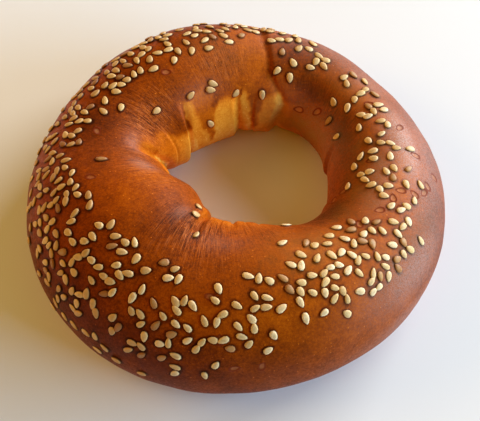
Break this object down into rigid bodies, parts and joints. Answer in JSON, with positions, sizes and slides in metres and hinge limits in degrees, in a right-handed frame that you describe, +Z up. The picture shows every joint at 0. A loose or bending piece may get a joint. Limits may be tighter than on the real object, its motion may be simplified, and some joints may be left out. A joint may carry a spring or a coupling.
{
  "type": "bublik",
  "caption": "Ring of boiled and baked dough with an off-centre hole, a pressed seam at the back, folds round the hole, a flat base and sesame seeds fused to its crust.",
  "frame": {"origin": "on the base, under the middle of the ring", "axes": "+Z up, -Y towards the thick front of the ring, the seam at +Y"},
  "size_m": [0.123, 0.1238, 0.0408],
  "materials": {
    "baked_crust": "satin, egg-washed baked crust"
  },
  "bodies": {
    "root": {"bublik": "baked_crust"}
  },
  "joints": []
}
